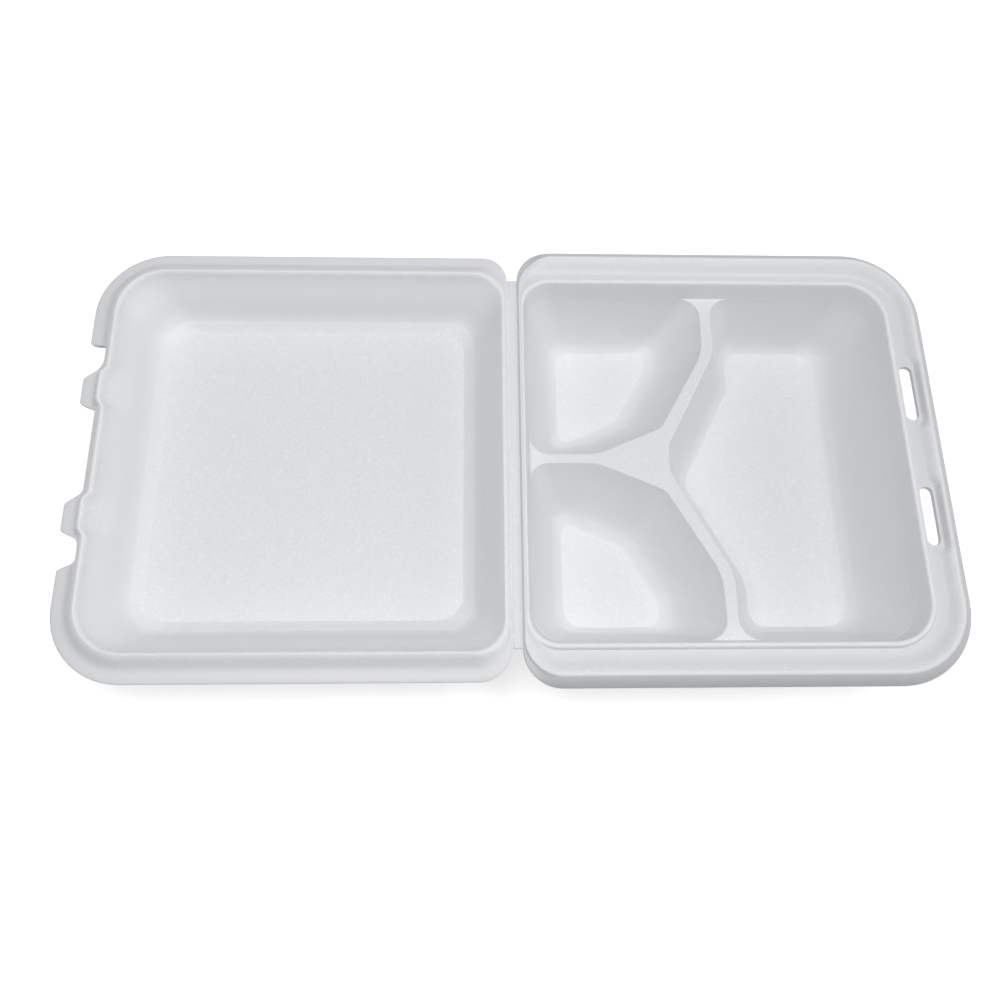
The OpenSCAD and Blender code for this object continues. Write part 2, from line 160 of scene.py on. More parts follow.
class TabSizes(bpy.types.PropertyGroup):
    tab_y: length("Tab place", "Distance of each tab and slot from the middle", 31.0, 26.0, 36.0)
    tab_length: length("Tab length", "Length of a tab's straight edge", 13.5, 6.0, 16.0)
    tab_root: length("Tab root", "Length of a tab at its root", 22.0, 18.0, 26.0)
    tab_bulge: length("Tab bulge", "Outward bulge of the crest at a tab", 2.0, 1.0, 2.5)
    tab_rise: length("Tab rise", "Rise of the crest at a tab", 1.5, 0.5, 2.0)
    trim: length("Trim", "From the crest to the trimmed edge between the tabs", 4.0, 2.5, 7.0)
    notch: length("Notch", "From the crest to the edge in the notches", 2.6, 2.0, 4.0)
    notch_length: length("Notch length", "Length of each notch along the edge", 8.0, 5.0, 12.0)
    tab_round: length("Tab corners", "Rounding of the corners of tabs and notches", 1.0, 0.2, 2.0)
    slot_length: length("Slot length", "Length of a slot in the base", 28.0, 26.0, 32.0)
    slot_width: length("Slot width", "Width of a slot in the base", 6.0, 5.0, 7.0)
    slot_gap: length("Slot gap", "From a tab's crest to the outer edge of its slot", 1.0, 0.6, 1.6)
    slot_lip: length("Slot lip", "Rounding of a slot's upper edge", 0.4, 0.1, 0.6)


class HingeSizes(bpy.types.PropertyGroup):
    crease_gap: length("Crease gap", "Distance between the two creases", 4.5, 4.0, 5.5)
    crease_width: length("Crease", "Width of a pressed crease", 0.3, 0.1, 0.5)
    strip_thickness: length("Strip", "Thickness of the strip between the creases", 2.0, 1.4, 2.4)
    strip_rise: length("Strip rise", "Rise of the strip's inner face over its creases", 0.7, 0.3, 1.0)
    crease_depth: length("Crease depth", "How deep the creases are pressed from below", 0.5, 0.2, 1.0)
    tuck: length("Tuck", "How far the creased sheet reaches into a half", 0.2, 0.1, 0.4)


class FoamLook(bpy.types.PropertyGroup):
    flat_colour: colour("Flat colour", "Colour of the floors, panel and tops", (0.885, 0.89, 0.905))
    wall_colour: colour("Wall colour", "Colour of the stretched walls", (0.87, 0.875, 0.893))
    # The rim colour is painted shade, greying the flanges, the base's outer edge and the ledge.
    painted_rim_shade: colour("Rim colour", "Colour of the edge that is pressed thin", (0.66, 0.668, 0.695))
    # The glint colour is also the painted highlight on the crests, the bead, the dividers' lips and the tab
    # patches.
    glint_colour: colour("Glint colour", "Colour of the cells that catch the light", (0.97, 0.975, 0.985))
    cell_size: length("Cell size", "Size of the foam's cells", 0.7, 0.2, 3.0)
    wave_size: length("Wave size", "Length of the sheet's slight waves", 26.0, 5.0, 80.0)
    roughness: number("Roughness", "Roughness of the foam's skin", 0.5, 0, 1, subtype="FACTOR")


class StudioLook(bpy.types.PropertyGroup):
    camera_place: FloatVectorProperty(
        name="Camera",
        description="Place of the camera",
        default=(-0.0199, -0.1492, 0.4244),
        unit="LENGTH",
        subtype="TRANSLATION",
    )
    camera_heading: degrees("Heading", "Turn of the view to the right", 5.91)
    camera_dip: degrees("Dip", "How far the camera looks down from the horizon", 71.53)
    camera_roll: degrees("Roll", "Turn of the picture about the line of sight", 5.62)
    camera_lens: number("Lens", "Focal length for a picture 36 mm wide", 31.53, 10, 200, "CAMERA")
    sky_strength: number("Sky", "Strength of the even light from all round", 0.24, 0, 2)
    key_energy: number("Key light", "Energy of the high lamp over the base", 2.8, 0, 200, "POWER")
    near_energy: number("Near light", "Energy of the low lamp over the lid", 1.2, 0, 200, "POWER")
    side_energy: number("Side light", "Energy of the low lamp beyond the base's front", 1.8, 0, 200, "POWER")
    floor_size: number("Floor", "Width of the floor", 6, 1, 20, "LENGTH")


def mix(a, b, share):
    """The value at a share of the way from a to b."""
    return a + (b - a) * share


def ease(share):
    """A share that starts and ends gently."""
    share = min(1.0, max(0.0, share))
    return share * share * (3 - 2 * share)


def lookup(value, table):
    """Value read off a line through [place, value] points."""
    return float(np.interp(value, [point[0] for point in table], [point[1] for point in table]))


WALL_SLOPE = 0.24  # run of the bowl's wall for each millimetre down
CREST_HALF = 1.2

# The flat pads round the slots: beyond a slot's outer edge, beyond its ends, and the run back to the ledge
PAD_EDGE = 1
PAD_END = 3
PAD_BLEND = 6.0


def plan(scene):
    """All sizes in millimetres, with the places that the pieces of the container share."""
    p = SimpleNamespace()
    for _title, name, _kind in SIZES:
        group = getattr(scene, name)
        for key in group.__annotations__:
            setattr(p, key, getattr(group, key) / MM)
    p.rim_z = p.height - p.flat_drop
    p.ledge_z = p.height - p.ledge_depth
    p.deck_z = p.height - p.divider_drop
    p.axis_x = p.crease_gap / 2
    p.axis_z = p.rim_z - p.crease_gap / 2 + p.clearance / 2
    p.edge_x = p.axis_x + p.crease_width / 2
    p.side_x = p.axis_x + p.strip_rise + p.clearance
    p.mouth_x = p.side_x + p.sheet
    p.slant_z = p.axis_z + p.side_x - p.edge_x
    p.lip_z = p.axis_z + p.strip_rise - p.strip_thickness
    p.strip_half = p.half_width - p.hinge_radius
    p.deck_run = (p.rim_z - p.deck_z) * WALL_SLOPE
    p.wall_thickness = p.sheet * math.hypot(1, WALL_SLOPE)
    p.bead_out = p.mouth_in - p.bead_width
    p.flat_in = p.bead_out - p.edge_round
    p.slot_out = p.reach - p.lid_crest_in + p.tab_bulge + CREST_HALF + p.slot_gap
    p.pad_extra = p.slot_out + PAD_EDGE - (p.reach - p.flat_in + p.front_flat)
    p.pad_half = p.slot_length / 2 + PAD_END
    return p


# Distances from the middle of the hinge between which the rims' ledge, bead and crest run out flat
FLAT_FROM = 19.0
FLAT_TO = 6.0


def flat_share(x):
    """Share of the flat zone next to the hinge in a point's height."""
    return ease((FLAT_FROM - abs(x)) / (FLAT_FROM - FLAT_TO))


def zone_share(p, y, half, blend):
    """Share of a tab or slot in a point of the front edge."""
    return ease((half + blend / 2 - abs(abs(y) - p.tab_y)) / blend)


def corner(x, y, radius, start, steps):
    """Points of a quarter circle, turning left from the start angle in degrees."""
    angles = [math.radians(start + 90 * i / steps) for i in range(steps + 1)]
    return [(x + radius * math.cos(a), y + radius * math.sin(a)) for a in angles]


def outline(front_x, hinge_x, half, front_radius, hinge_radius):
    """The four corners of one level of a half, after its front edge."""
    fx, hx = front_x - front_radius, hinge_x + hinge_radius
    fy, hy = half - front_radius, half - hinge_radius
    return (
        corner(fx, fy, front_radius, 0, FRONT_CORNER_STEPS)
        + corner(hx, hy, hinge_radius, 90, HINGE_CORNER_STEPS)
        + corner(hx, -hy, hinge_radius, 180, HINGE_CORNER_STEPS)
        + corner(fx, -fy, front_radius, 270, FRONT_CORNER_STEPS)
    )


LEAST_GAP = 0.01
SAME_WAY = 1e-12


def smooth_levels(levels, grains):
    """More rings between the given ones, on curves through them that never overshoot."""
    rings = np.array(levels, float)
    steps = np.diff(rings, axis=0)
    gaps = np.maximum(np.linalg.norm(steps, axis=2), LEAST_GAP)[..., None]
    slopes = steps / gaps
    before, after = slopes[:-1], slopes[1:]
    weight_a = 2 * gaps[1:] + gaps[:-1]
    weight_b = gaps[1:] + 2 * gaps[:-1]
    safe = before * after > SAME_WAY
    a = np.where(safe, before, 1.0)
    b = np.where(safe, after, 1.0)
    inner = np.where(safe, (weight_a + weight_b) / (weight_a / a + weight_b / b), 0.0)
    tangents = np.concatenate([slopes[:1], inner, slopes[-1:]])
    out, out_grains = [], []
    for k in range(len(levels) - 1):
        count = int(min(MOST_STEPS, max(2, math.ceil(gaps[k].max() / FINE_STEP))))
        for i in range(count):
            t = i / count
            h00 = (1 + 2 * t) * (1 - t) ** 2
            h01 = t * t * (3 - 2 * t)
            h10 = t * (1 - t) ** 2
            h11 = t * t * (t - 1)
            ring = (
                h00 * rings[k]
                + h01 * rings[k + 1]
                + h10 * gaps[k] * tangents[k]
                + h11 * gaps[k] * tangents[k + 1]
            )
            out.append(ring)
            out_grains.append(mix(np.asarray(grains[k]), np.asarray(grains[k + 1]), t))
    out.append(rings[-1])
    out_grains.append(np.asarray(grains[-1]))
    return out, out_grains


def loft(bm, rings, grains):
    """Extrudes one closed ring of edges through all the levels. Returns its first and its last edges."""
    layer = bm.verts.layers.float.get("grain") or bm.verts.layers.float.new("grain")
    ring = bmesh.ops.create_circle(bm, segments=len(rings[0]), radius=1.0)["verts"]
    first = edges = list({edge for vert in ring for edge in vert.link_edges})
    for number, (level, grain) in enumerate(zip(rings, grains)):
        if number:
            made = bmesh.ops.extrude_edge_only(bm, edges=edges)["geom"]
            fresh = {item for item in made if isinstance(item, bmesh.types.BMVert)}
            ring = [
                next(e.other_vert(vert) for e in vert.link_edges if e.other_vert(vert) in fresh)
                for vert in ring
            ]
            edges = [
                item
                for item in made
                if isinstance(item, bmesh.types.BMEdge) and set(item.verts) <= fresh
            ]
        values = np.broadcast_to(grain, len(ring))
        for vert, place, value in zip(ring, level, values):
            vert.co = place
            vert[layer] = float(value)
    return first, edges


def add_object(name, data):
    """An object in the scene, for a mesh, a lamp or a camera."""
    made = bpy.data.objects.new(name, data)
    bpy.context.scene.collection.objects.link(made)
    return made


def add_solid(bm, name):
    """Turns a closed surface in millimetres into an object in metres."""
    bmesh.ops.recalc_face_normals(bm, faces=bm.faces)
    bmesh.ops.scale(bm, vec=(MM, MM, MM), verts=bm.verts)
    mesh = bpy.data.meshes.new(name)
    bm.to_mesh(mesh)
    bm.free()
    return add_object(name, mesh)


def finish_sheet(bm, name, cutter=None):
    """A piece of the foam sheet, smooth but for its sharp edges. What the cutter covers is cut away."""
    piece = add_solid(bm, name)
    piece.data.materials.append(foam_material(bpy.context.scene.container_foam))
    if cutter:
        cut_away(piece, cutter)
    piece.data.shade_smooth()
    piece.data.set_sharp_from_angle(angle=SHARP_ANGLE)
    weighted = piece.modifiers.new("even_shading", "WEIGHTED_NORMAL")
    weighted.keep_sharp = True
    weighted.weight = EVEN_SHADING
    return piece


# How much of its fine cell texture the foam keeps: all of it on floors and tops, little on drawn walls.
# Above 1 a painted highlight brightens the foam, and below 0 painted shade greys it.
FLOOR_GRAIN = 1.0
TOP_GRAIN = 0.9
PAINTED_CREST_HIGHLIGHT = 1.9
PAINTED_FLANGE_SHADE = -0.6
PAINTED_BASE_EDGE_SHADE = -0.85
PAINTED_LEDGE_SHADE = -0.3
WALL_GRAIN = 0.12
UNDER_GRAIN = 0.5

# How much a front or a hinge corner's radius shrinks for each millimetre in from the edge
FRONT_SHRINK = 0.9
HINGE_SHRINK = 0.2

# Stations at a pad's flank, by their number on each side of it and by their share of its blend
PAD_STATIONS = 6
PAD_STEP = 1 / 8


def base_rows(p):
    """Rows of [distance in from the edge, how much less it is at the front, x next to the hinge, z, z next
    to the hinge, share of the slots' pads, grain], from the deck over the rim and under it."""
    r = p.edge_round
    wall_in = p.mouth_in + 0.3
    crest_in = p.flange_width + 1.4
    under_in = p.flange_width - 0.4
    hollow_in = p.flange_width + 1.8
    deck_in = p.mouth_in + p.deck_run
    deck_x = p.mouth_x + p.deck_run
    bead_z = p.ledge_z + p.bead_height
    edge_z = p.height - p.flange_drop
    under_z = p.ledge_z - p.sheet
    ledge_in = p.flat_in - p.side_flat
    wall_under = p.mouth_in - p.wall_thickness + 0.5
    wall_x = p.mouth_x - p.wall_thickness + 0.8
    deck_under = deck_in - p.wall_thickness
    deck_low = p.deck_z - p.sheet
    top = [
        (deck_in, 0, deck_x, p.deck_z, p.deck_z, 0, WALL_GRAIN),
        (wall_in, 0, p.mouth_x + 0.3, p.rim_z - 1.2, p.rim_z - 1.2, 0, WALL_GRAIN),
        (p.mouth_in, 0, p.mouth_x, p.rim_z - 0.4, p.rim_z - 0.4, 0, TOP_GRAIN),
        # Painted highlight on the bead's edges and the crest, and painted shade on the ledge, the flange and
        # the outer edge
        (p.mouth_in - r, 0, p.mouth_x - 0.3, bead_z, p.rim_z, 0, PAINTED_CREST_HIGHLIGHT),
        (p.bead_out + r, 0, p.mouth_x - 0.7, bead_z, p.rim_z, 0, PAINTED_CREST_HIGHLIGHT),
        (p.bead_out, 0, p.mouth_x - 0.9, bead_z - r, p.rim_z, 0, TOP_GRAIN),
        (p.flat_in, 0, p.mouth_x - 1.1, p.ledge_z, p.rim_z, 0, PAINTED_LEDGE_SHADE),
        (ledge_in, p.front_flat - p.side_flat, p.mouth_x - 1.4, p.ledge_z, p.rim_z, 1, PAINTED_LEDGE_SHADE),
        (crest_in, 0, p.mouth_x - 1.7, p.height - 0.3, p.rim_z, 0.16, TOP_GRAIN),
        (p.flange_width, 0, p.side_x, p.height, p.rim_z - 0.2, 0, PAINTED_CREST_HIGHLIGHT),
        (p.flange_width - 1.1, 0, p.side_x, p.height - 0.4, p.slant_z, 0, PAINTED_BASE_EDGE_SHADE),
        (0.3, 0, p.edge_x, edge_z + r, p.axis_z, 0, PAINTED_BASE_EDGE_SHADE),
        (0, 0, p.edge_x, edge_z - 0.2, p.axis_z - 0.3, 0, PAINTED_BASE_EDGE_SHADE),
    ]
    under = [
        (0.6, 0, p.edge_x, edge_z - 1.6, p.lip_z, 0, UNDER_GRAIN),
        (under_in, 0, p.edge_x + 0.5, p.height - p.sheet - 0.6, p.lip_z - 0.1, 0, UNDER_GRAIN),
        (hollow_in, 0, p.edge_x + 0.9, p.height - p.sheet - 0.5, p.lip_z - 0.2, 0.16, UNDER_GRAIN),
        (ledge_in + 0.7, p.front_flat - p.side_flat, p.edge_x + 1.3, under_z, p.lip_z - 0.3, 1, UNDER_GRAIN),
        (wall_under, 0, wall_x, under_z - 0.3, p.lip_z - 0.5, 0, WALL_GRAIN),
        (deck_under, 0, deck_x - p.wall_thickness, deck_low, deck_low, 0, WALL_GRAIN),
    ]
    return top + under


def base_level(p, row):
    """One level of the base: its front edge with the pads round the slots, then its corners in turn."""
    edge_in, front_less, hinge_x, z, hinge_z, pad, _grain = row
    front_x = p.reach - edge_in + front_less
    steps = range(-PAD_STATIONS, PAD_STATIONS + 1)
    stations = [sign * p.pad_half + step * PAD_STEP * PAD_BLEND for sign in (-1, 1) for step in steps]
    ys = [-(p.tab_y + s) for s in reversed(stations)] + [p.tab_y + s for s in stations]
    points = [(front_x + pad * p.pad_extra * zone_share(p, y, p.pad_half, PAD_BLEND), y) for y in ys]
    points += outline(
        front_x,
        hinge_x,
        p.half_width - edge_in,
        p.front_radius - FRONT_SHRINK * edge_in,
        p.hinge_radius - HINGE_SHRINK * edge_in,
    )
    return [(x, y, mix(z, hinge_z, flat_share(x))) for x, y in points]


def shifted(a, b, distance):
    """The line from a to b, moved to its left."""
    along = (b - a).normalized()
    move = Vector((-along.y, along.x)) * distance
    return a + move, b + move


def meet(one, other):
    """Where two lines cross."""
    p, q, w = one[1] - one[0], other[1] - other[0], other[0] - one[0]
    return one[0] + p * (w.x * q.y - w.y * q.x) / (p.x * q.y - p.y * q.x)


def inset(points, runs):
    """A polygon with each of its sides moved inward by that side's own run."""
    count = len(points)
    sides = [shifted(points[i], points[(i + 1) % count], runs[i]) for i in range(count)]
    return [meet(sides[i - 1], sides[i]) for i in range(count)]


def rounded(points, radii, grow):
    """A polygon with arcs for its corners. Growing makes convex arcs larger and hollow ones smaller."""
    out = []
    count = len(points)
    for i, point in enumerate(points):
        back = (points[i - 1] - point).normalized()
        ahead = (points[(i + 1) % count] - point).normalized()
        turn = -back.x * ahead.y + back.y * ahead.x
        radius = radii[i] + grow * math.copysign(1, turn)
        half = back.angle(ahead) / 2
        centre = point + (back + ahead).normalized() * radius / math.sin(half)
        a = (point + back * radius / math.tan(half) - centre).normalized()
        b = (point + ahead * radius / math.tan(half) - centre).normalized()
        sweep = a.angle(b)
        for step in range(CELL_CORNER_STEPS + 1):
            s = sweep * step / CELL_CORNER_STEPS
            out.append(centre + radius * (a * math.sin(sweep - s) + b * math.sin(s)) / math.sin(sweep))
    return out


SEAM = 0.06  # the compartments' outlines keep this hair inside the bowl's wall
BEND_WIDENING = 1.15  # of the side dividers where they bend


def compartments(p):
    """The three compartments: their top and floor corners, the radii, and which sides are dividers."""
    wall_y = p.half_width - p.mouth_in - p.deck_run - SEAM
    wall_front = p.reach - p.mouth_in - p.deck_run - SEAM
    wall_hinge = p.mouth_x + p.deck_run + SEAM
    bend_half = p.side_arm_width / 2 * BEND_WIDENING
    bowl_front = p.front_radius - FRONT_SHRINK * (p.mouth_in + p.deck_run)
    bowl_hinge = p.hinge_radius - HINGE_SHRINK * (p.mouth_in + p.deck_run)

    small_top = [
        (wall_hinge, p.middle_arm_width / 2),
        (p.middle_arm_length, p.middle_arm_width / 2),
        (p.fork_x, p.fork_half),
        (p.bend_x - bend_half, p.bend_y),
        (p.bend_x - p.side_arm_width / 2, wall_y),
        (wall_hinge, wall_y),
    ]
    small_top = [Vector(point) for point in small_top]
    slant = (small_top[1], small_top[2])
    lines = [meet((small_top[5], small_top[0]), slant)] + small_top[2:]
    near, *others = inset(lines, [p.small_run, p.small_run, p.small_run, p.side_run, p.hinge_run])
    along = (slant[1] - slant[0]).normalized()
    halfway = near.lerp(others[0], 0.5) + Vector((along.y, -along.x)) * 0.5
    small = SimpleNamespace(
        top=small_top,
        floor=[near, halfway] + others,
        top_radii=[9, 24, 8, 26, 10, bowl_hinge + 0.2],
        floor_radii=[5, 30, 9, 20, 6, 9],
        dividers=[1, 1, 1, 1, 0, 0],
        side=1,
    )
    mirrored = SimpleNamespace(**vars(small))
    mirrored.side = -1

    side = [
        (wall_front, wall_y),
        (p.bend_x + p.side_arm_width / 2, wall_y),
        (p.bend_x + bend_half, p.bend_y),
        (p.nose_x, p.nose_half),
    ]
    large_top = [Vector(point) for point in side + [(x, -y) for x, y in reversed(side)]]
    large_top = [large_top[-1]] + large_top[:-1]
    run = p.large_run
    large = SimpleNamespace(
        top=large_top,
        floor=inset(large_top, [p.front_run, p.side_run, run, run, run, run, run, p.side_run]),
        top_radii=[bowl_front + 0.2, bowl_front + 0.2, 10, 26, 9, 9, 26, 10],
        floor_radii=[11, 11, 8, 28, 7, 7, 28, 8],
        dividers=[0, 0, 1, 1, 1, 1, 1, 0],
        side=1,
    )
    return [large, small, mirrored]


def compartment_level(cell, share, grow, lip, z):
    """One level of a compartment, at a share of the way to its floor. It grows all round, and by its lip only
    at the dividers."""
    top = inset(cell.top, [-grow - lip * side for side in cell.dividers])
    floor = inset(cell.floor, [-grow for _side in cell.floor])
    corners = [a.lerp(b, share) for a, b in zip(top, floor)]
    radii = [mix(a, b, share) for a, b in zip(cell.top_radii, cell.floor_radii)]
    ring = rounded(corners, radii, grow)
    return [(point.x, point.y * cell.side, z) for point in ring]


# Shares of the run that the wall and the fillet at its foot take, and their heights over the floor
FOOT = ((0.72, 4.0), (0.85, 1.7), (0.95, 0.4), (0.99, 0.05))
FLOOR_RIM = (-0.25, -1.2)  # steps inward on the flat floor, so that the fillet runs out level

# Grains from the deck over the rounded lip, and from there down the wall to the floor, one for each ring.
# Those above 1 on the lip are a painted highlight
LIP_GRAINS_AND_HIGHLIGHT = (TOP_GRAIN, 1.5, 1.8, 1.4, 0.5)
HOLLOW_GRAINS = (WALL_GRAIN,) * 4 + (0.15, 0.35, FLOOR_GRAIN, FLOOR_GRAIN)


def compartment_rings(p, cell, grow, foot_z, deck_z):
    """Levels of a compartment's wall, from the deck down to its floor, without the rounding of its lip."""
    wall_top = p.deck_z - p.divider_round
    foot_share, foot_height = FOOT[0]
    begin = foot_share * (wall_top - deck_z) / (wall_top - foot_z - foot_height)
    middle = mix(begin, foot_share, 0.5), mix(deck_z, foot_z + foot_height, 0.5)
    levels = [(begin, deck_z), middle] + [(share, foot_z + height) for share, height in FOOT]
    rings = [compartment_level(cell, share, grow, 0.0, z) for share, z in levels]
    rings += [compartment_level(cell, 1.0, grow + step, 0.0, foot_z) for step in FLOOR_RIM]
    return smooth_levels(rings, HOLLOW_GRAINS)


def cut_compartment(bm, p, cell):
    """A compartment's hollow, from its rounded lip to its floor. Returns the edges of its lip."""
    lip_rings = []
    steps = len(LIP_GRAINS_AND_HIGHLIGHT)
    for step in range(steps):
        angle = math.pi / 2 * step / steps
        lip = p.divider_round * (1 - math.sin(angle))
        z = p.deck_z - p.divider_round * (1 - math.cos(angle))
        lip_rings.append(compartment_level(cell, 0.0, 0.0, lip, z))
    rings, grains = compartment_rings(p, cell, 0.0, p.sheet, p.deck_z - p.divider_round)
    across = [min(1.0, math.dist(a, b) / p.divider_round) for a, b in zip(lip_rings[0], lip_rings[-1])]
    lip_grains = [[mix(WALL_GRAIN, grain, share) for share in across] for grain in LIP_GRAINS_AND_HIGHLIGHT]
    lip_edges, floor_edges = loft(bm, lip_rings + rings, lip_grains + grains)
    bmesh.ops.edgeloop_fill(bm, edges=floor_edges)
    return lip_edges


def hang_compartment(bm, p, cell):
    """A compartment's outer face, seen from below. Returns the edges where it leaves the deck."""
    rings, grains = compartment_rings(p, cell, p.wall_thickness, 0.0, p.deck_z - p.sheet)
    deck_edges, floor_edges = loft(bm, rings, grains)
    bmesh.ops.edgeloop_fill(bm, edges=floor_edges)
    return deck_edges


SLOT_LOW = -8.0  # how far below the ledge the slots' cutter reaches
SLOT_HIGH = 3.0
SLOT_STEPS = 24


def slot_cutter(p):
    """Two rounded oblong pegs with flared tops that cut the slots through the ledge."""
    lip = p.slot_lip
    flare = [(0.0, -lip * 1.3), (lip * 0.15, -lip * 0.65), (lip * 0.45, -lip * 0.2), (lip, 0.0)]
    profile = [(0.0, SLOT_LOW), *flare, (lip, SLOT_HIGH)]
    bm = bmesh.new()
    run = (p.slot_length - p.slot_width) / 2
    for sign in (-1, 1):
        rings = []
        for grow, height in profile:
            radius = p.slot_width / 2 + grow
            ring = []
            for end in (1, -1):
                for step in range(SLOT_STEPS + 1):
                    angle = math.pi * (step / SLOT_STEPS + (end < 0))
                    x = p.slot_out - p.slot_width / 2 + radius * math.cos(angle)
                    y = sign * p.tab_y + end * run + radius * math.sin(angle)
                    ring.append((x, y, p.ledge_z + height))
            rings.append(ring)
        low, high = loft(bm, rings, [PAINTED_LEDGE_SHADE] * len(rings))
        bmesh.ops.edgeloop_fill(bm, edges=low)
        bmesh.ops.edgeloop_fill(bm, edges=high)
    return add_solid(bm, "slot_cutter")


def cut_away(piece, cutter):
    """Cuts a piece, leaves it a plain mesh and removes the cutter."""
    cut = piece.modifiers.new("slots", "BOOLEAN")
    cut.operation = "DIFFERENCE"
    cut.solver = "EXACT"
    cut.object = cutter
    graph = bpy.context.evaluated_depsgraph_get()
    mesh = bpy.data.meshes.new_from_object(piece.evaluated_get(graph), depsgraph=graph)
    piece.modifiers.remove(cut)
    old, tool = piece.data, cutter.data
    piece.data = mesh
    bpy.data.meshes.remove(old)
    mesh.name = piece.name
    bpy.data.objects.remove(cutter)
    bpy.data.meshes.remove(tool)


# Which edge a point of the lid's front follows
WALL, MID, EDGE = 0, 1, 2

# The middle of the lid's flange, as shares of its width and of its drop
MID_WIDTH = 0.52
MID_DROP = 0.72


def lid_rows(p):
    """Rows of [distance out from the crest line, x next to the hinge, z, z next to the hinge, share of a
    tab's bulge, share of its rise, what it follows, grain], from the panel over the rim and back under it."""
    foot = p.bevel_width + 1.4
    foot_under = foot + 1.4
    bevel_under = p.bevel_width + 0.7
    bevel_low = p.lid_lift + p.panel_drop
    panel_z = p.lid_lift + p.sheet
    foot_z = panel_z + p.panel_drop + 1
    bevel_z = panel_z + p.panel_drop
    turn_z = panel_z + 0.2 * p.panel_drop / p.bevel_width
    half_z = mix(foot_z, p.rim_z, 0.5)
    panel_x = p.mouth_x + p.panel_in - 0.6
    half_x = p.mouth_x + (p.panel_in - foot) / 2
    half_in = (foot - p.panel_in) / 2
    mid = p.lid_flange_width * MID_WIDTH
    mid_drop = p.lid_flange_drop * MID_DROP
    mid_low = p.height - mid_drop - p.sheet - 0.3
    edge_z = p.height - p.lid_flange_drop
    top = [
        (-p.panel_in - 1.0, panel_x + 1.0, panel_z, panel_z, 0, 0, WALL, FLOOR_GRAIN),
        (-p.panel_in, panel_x, panel_z, panel_z, 0, 0, WALL, FLOOR_GRAIN),
        (0.3 - p.panel_in, panel_x - 0.3, turn_z, turn_z, 0, 0, WALL, FLOOR_GRAIN),
        (p.bevel_width - p.panel_in, panel_x - p.bevel_width, bevel_z, bevel_z, 0, 0, WALL, 0.35),
        (foot - p.panel_in, panel_x - foot, foot_z, foot_z, 0, 0, WALL, WALL_GRAIN),
        (half_in - 1, half_x, half_z, half_z, 0.2, 0, WALL, WALL_GRAIN),
        (-2, p.mouth_x + 1.2, p.rim_z - 1.6, p.rim_z - 2, 0.85, 0.2, WALL, WALL_GRAIN),
        (-1, p.mouth_x, p.height - 1, p.rim_z - 0.4, 1, 0.8, WALL, TOP_GRAIN),
        # Painted highlight on the crest, and painted shade on the flange
        (0, p.mouth_x - 0.5, p.height, p.rim_z, 1, 1, WALL, PAINTED_CREST_HIGHLIGHT),
        (CREST_HALF, p.side_x, p.height - 0.4, p.rim_z, 1, 1, WALL, TOP_GRAIN),
        (mid, p.side_x, p.height - mid_drop, p.slant_z, 0, 0, MID, PAINTED_FLANGE_SHADE),
        (p.lid_flange_width, p.edge_x, edge_z, p.axis_z, 0, 0, EDGE, PAINTED_FLANGE_SHADE),
    ]
    under = [
        (p.lid_flange_width - 0.4, p.edge_x, edge_z - p.sheet + 0.2, p.lip_z, 0, 0, EDGE, UNDER_GRAIN),
        (mid - 0.4, p.edge_x + 1.3, mid_low, p.lip_z - 0.2, 0, 0, MID, UNDER_GRAIN),
        (CREST_HALF, p.edge_x + 2, p.height - p.sheet - 0.8, p.lip_z - 0.4, 1, 1, WALL, UNDER_GRAIN),
        (-0.2, p.mouth_x - 0.3, p.rim_z - 2.7, p.lip_z - 0.7, 0.85, 0.2, WALL, WALL_GRAIN),
        (half_in + 0.9, half_x - 1.9, half_z - 1.1, half_z - 1.1, 0.2, 0, WALL, WALL_GRAIN),
        (foot_under - p.panel_in, panel_x - foot_under, foot_z - 1.6, foot_z - 1.6, 0, 0, WALL, WALL_GRAIN),
        (bevel_under - p.panel_in, panel_x - bevel_under, bevel_low, bevel_low, 0, 0, WALL, UNDER_GRAIN),
        (0.6 - p.panel_in, panel_x - 0.6, p.lid_lift, p.lid_lift, 0, 0, WALL, FLOOR_GRAIN),
    ]
    return top + under


# Lengths along the lid's front: the notches' ends, the run of a tab's bulge, and the step between stations
NOTCH_RAMP = 3.0
CORNER_RAMP = 2.0
TAB_BLEND = 5.0
FRONT_STEP = 0.8
ROUND_STEPS = 3  # steps on each side over which the corners of the edge are averaged


def edge_out(p, y):
    """Distance of the flange's edge from the crest line at the front, with the tabs' corners rounded."""
    half = p.tab_root / 2
    notch_start = half + NOTCH_RAMP
    notch_end = notch_start + p.notch_length
    table = [
        (-half, p.trim),
        (-p.tab_length / 2, p.lid_crest_in),
        (p.tab_length / 2, p.lid_crest_in),
        (half, p.trim),
        (notch_start, p.notch),
        (notch_end, p.notch),
        (notch_end + CORNER_RAMP, p.lid_flange_width),
    ]
    reach = [p.tab_round * step / ROUND_STEPS for step in range(-ROUND_STEPS, ROUND_STEPS + 1)]
    return sum(lookup(abs(y + step) - p.tab_y, table) for step in reach) / len(reach)


def flange_fall(p, out):
    """Drop of the lid's flange under its crest, by the distance out from the crest line."""
    table = [
        (CREST_HALF, 0.4),
        (p.lid_flange_width * MID_WIDTH, p.lid_flange_drop * MID_DROP),
        (p.lid_flange_width, p.lid_flange_drop),
    ]
    return lookup(out, table)


def lid_front_ys(p):
    """Stations along the lid's front edge, close enough together for the tabs and notches."""
    end = p.tab_y + p.tab_root / 2 + NOTCH_RAMP + p.notch_length + CORNER_RAMP + p.tab_round
    count = 2 * math.ceil(end / FRONT_STEP)
    return [-end + 2 * end * i / count for i in range(count + 1)]


